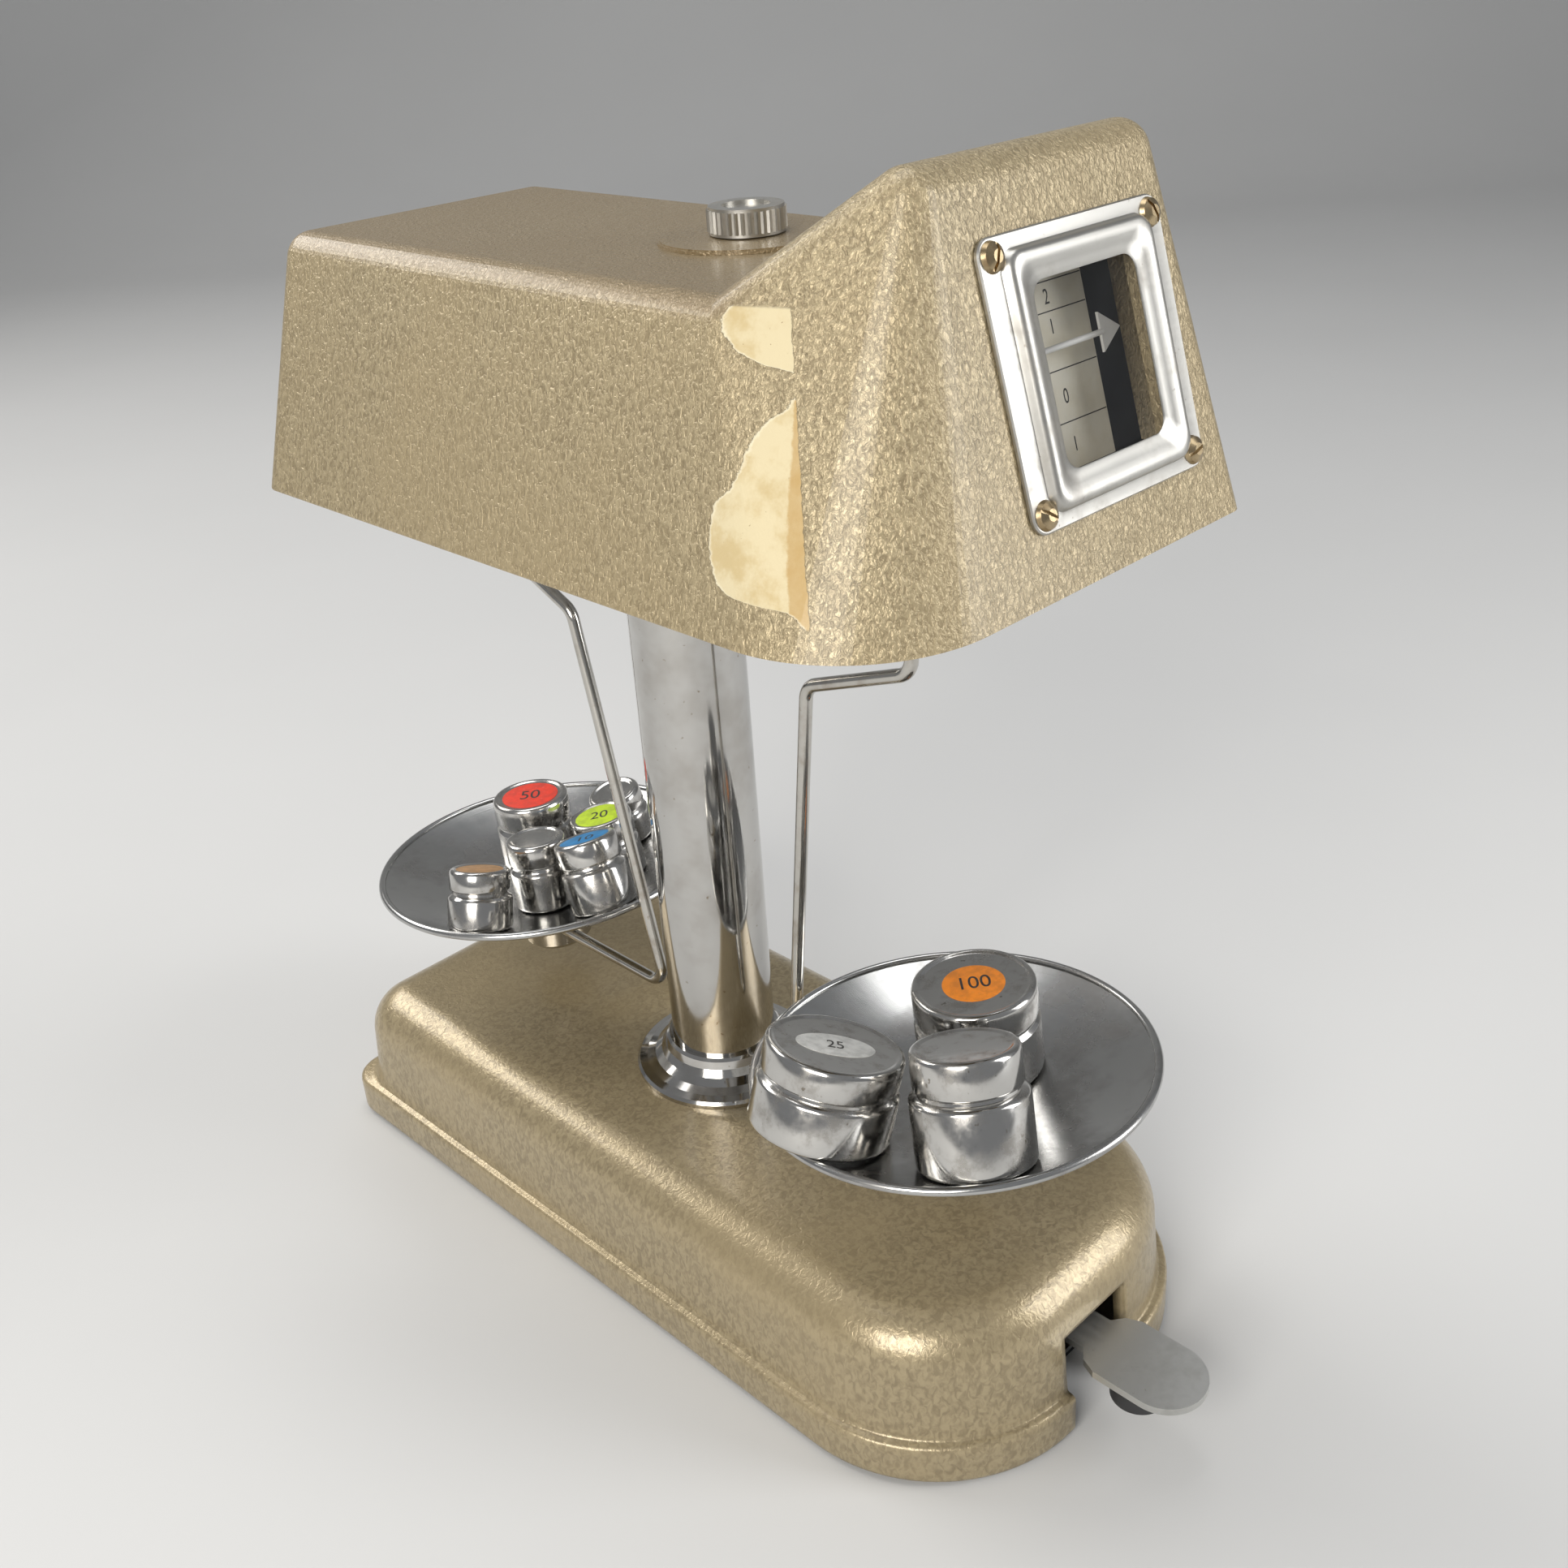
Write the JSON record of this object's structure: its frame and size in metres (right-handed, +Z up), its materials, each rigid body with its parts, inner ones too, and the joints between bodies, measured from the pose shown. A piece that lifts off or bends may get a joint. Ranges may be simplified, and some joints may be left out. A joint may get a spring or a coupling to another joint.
{
  "type": "counter balance with hanging pans",
  "caption": "Counter balance with a hooded head and window, a chrome column, two hanging pans with drum weights and a front arrest lever.",
  "frame": {"origin": "on the table plane, on the axis of the column", "axes": "+Z up; -Y is the front, where the window and the lever are; +X is to the right of someone reading the window"},
  "size_m": [0.1624, 0.3754, 0.386],
  "materials": {
    "base_paint": "gold-beige hammered enamel, worn",
    "head_paint": "gold-beige hammered enamel, pebbled",
    "black_pad": "thin rubber sheet",
    "dull_steel": "plain steel",
    "chrome_plate": "bright plate",
    "rod_chrome": "bright plate, slightly dulled",
    "pan_steel": "polished, spun",
    "weight_plate": "worn bright plate",
    "brass_parts": "turned and milled brass",
    "screw_brass": "worn nickel over brass",
    "bearing_stone": "polished agate",
    "knife_steel": "ground steel",
    "nickel_frame": "satin nickel",
    "window_pane": "clear",
    "dark_paint": "matt black",
    "card_stock": "aged cream card",
    "lever_steel": "satin grey",
    "black_rubber": "moulded",
    "pointer_white": "white enamel"
  },
  "bodies": {
    "stand": {"base_pad": "black_pad", "base_casting": "base_paint", "bottom_plate": "dull_steel", "plate_screws": "dull_steel", "foot_flange": "chrome_plate", "column": "chrome_plate", "column_nut": "dull_steel", "rod_guides": "brass_parts", "head_collar": "dull_steel", "head_plate": "dull_steel", "cover_screws": "dull_steel", "fulcrum_cheeks": "dull_steel", "bearing_blocks": "bearing_stone", "head_cover": "head_paint", "adjuster_cap": "head_paint", "bezel": "nickel_frame", "bezel_screws": "screw_brass", "window_glass": "window_pane", "card_bracket": "dark_paint", "scale_card": "card_stock", "lever_bracket": "dull_steel", "lever_pin": "dull_steel"},
    "adjuster": {"adjuster_knob": "nickel_frame", "adjuster_spindle": "dull_steel"},
    "lever": {"lever": "lever_steel", "lever_bumper": "black_rubber"},
    "arrest": {"arrest_rod": "dull_steel", "arrest_yoke": "brass_parts", "arrest_spring": "dull_steel"},
    "beam": {"beam": "brass_parts", "centre_knife": "knife_steel", "end_knives": "knife_steel", "poise_nuts": "brass_parts", "pointer": "pointer_white"},
    "front_hanger": {"front_stirrup": "brass_parts", "front_hanger": "rod_chrome", "front_hub": "chrome_plate"},
    "rear_hanger": {"rear_stirrup": "brass_parts", "rear_hanger": "rod_chrome", "rear_hub": "chrome_plate"},
    "front_pan": {"front_pan": "pan_steel"},
    "rear_pan": {"rear_pan": "pan_steel"},
    "weight_large": {"weight_large": "weight_plate"},
    "weight_wide": {"weight_wide": "weight_plate"},
    "weight_collar": {"weight_collar": "weight_plate"},
    "weight_red": {"weight_red": "weight_plate"},
    "weight_green": {"weight_green": "weight_plate"},
    "weight_blue": {"weight_blue": "weight_plate"},
    "weight_small": {"weight_small": "weight_plate"},
    "weight_plain": {"weight_plain": "weight_plate"},
    "weight_back": {"weight_back": "weight_plate"}
  },
  "joints": [
    {"name": "lever_press", "type": "hinge", "parent": "stand", "child": "lever", "pos_m": [0, -0.04, 0.024], "axis": [1, 0, 0], "range_deg": [0, 5], "stiffness_Nm_per_rad": 1, "springref_deg": -14.32},
    {"name": "arrest_lift", "type": "slide", "parent": "stand", "child": "arrest", "axis": [0, 0, 1], "range_m": [0, 0.0036], "deforming": ["arrest_spring"]},
    {"name": "beam_swing", "type": "hinge", "parent": "stand", "child": "beam", "pos_m": [0, 0, 0.318], "axis": [1, 0, 0], "range_deg": [-2.5, 2.5]},
    {"name": "front_hang", "type": "hinge", "parent": "beam", "child": "front_hanger", "pos_m": [0, -0.086, 0.318], "axis": [1, 0, 0], "range_deg": [-2.6, 2.6]},
    {"name": "rear_hang", "type": "hinge", "parent": "beam", "child": "rear_hanger", "pos_m": [0, 0.086, 0.318], "axis": [1, 0, 0], "range_deg": [-2.6, 2.6]},
    {"name": "front_pan_lift", "type": "slide", "parent": "front_hanger", "child": "front_pan", "axis": [0, 0.075, 0.9972], "range_m": [0, 0.008]},
    {"name": "rear_pan_lift", "type": "slide", "parent": "rear_hanger", "child": "rear_pan", "axis": [0, 0.075, 0.9972], "range_m": [0, 0.004]},
    {"name": "zero_turn", "type": "hinge", "parent": "stand", "child": "adjuster", "pos_m": [0, -0.042, 0.35], "axis": [0, 0, 1], "continuous": true},
    {"name": "weight_large_lift", "type": "slide", "parent": "front_pan", "child": "weight_large", "axis": [0, 0.075, 0.9972], "range_m": [0, 0.06]},
    {"name": "weight_wide_lift", "type": "slide", "parent": "front_pan", "child": "weight_wide", "axis": [0, 0.075, 0.9972], "range_m": [0, 0.06]},
    {"name": "weight_collar_lift", "type": "slide", "parent": "front_pan", "child": "weight_collar", "axis": [0, 0.075, 0.9972], "range_m": [0, 0.06]},
    {"name": "weight_red_lift", "type": "slide", "parent": "rear_pan", "child": "weight_red", "axis": [0, 0.075, 0.9972], "range_m": [0, 0.06]},
    {"name": "weight_green_lift", "type": "slide", "parent": "rear_pan", "child": "weight_green", "axis": [0, 0.075, 0.9972], "range_m": [0, 0.06]},
    {"name": "weight_blue_lift", "type": "slide", "parent": "rear_pan", "child": "weight_blue", "axis": [0, 0.075, 0.9972], "range_m": [0, 0.045]},
    {"name": "weight_small_lift", "type": "slide", "parent": "rear_pan", "child": "weight_small", "axis": [0, 0.075, 0.9972], "range_m": [0, 0.06]},
    {"name": "weight_plain_lift", "type": "slide", "parent": "rear_pan", "child": "weight_plain", "axis": [0, 0.075, 0.9972], "range_m": [0, 0.06]},
    {"name": "weight_back_lift", "type": "slide", "parent": "rear_pan", "child": "weight_back", "axis": [0, 0.075, 0.9972], "range_m": [0, 0.06]}
  ],
  "couplings": [
    {"joint": "arrest_lift", "follows": "lever_press", "m_per_rad": 0.04},
    {"joint": "front_hang", "follows": "beam_swing", "ratio": -1},
    {"joint": "rear_hang", "follows": "beam_swing", "ratio": -1}
  ]
}
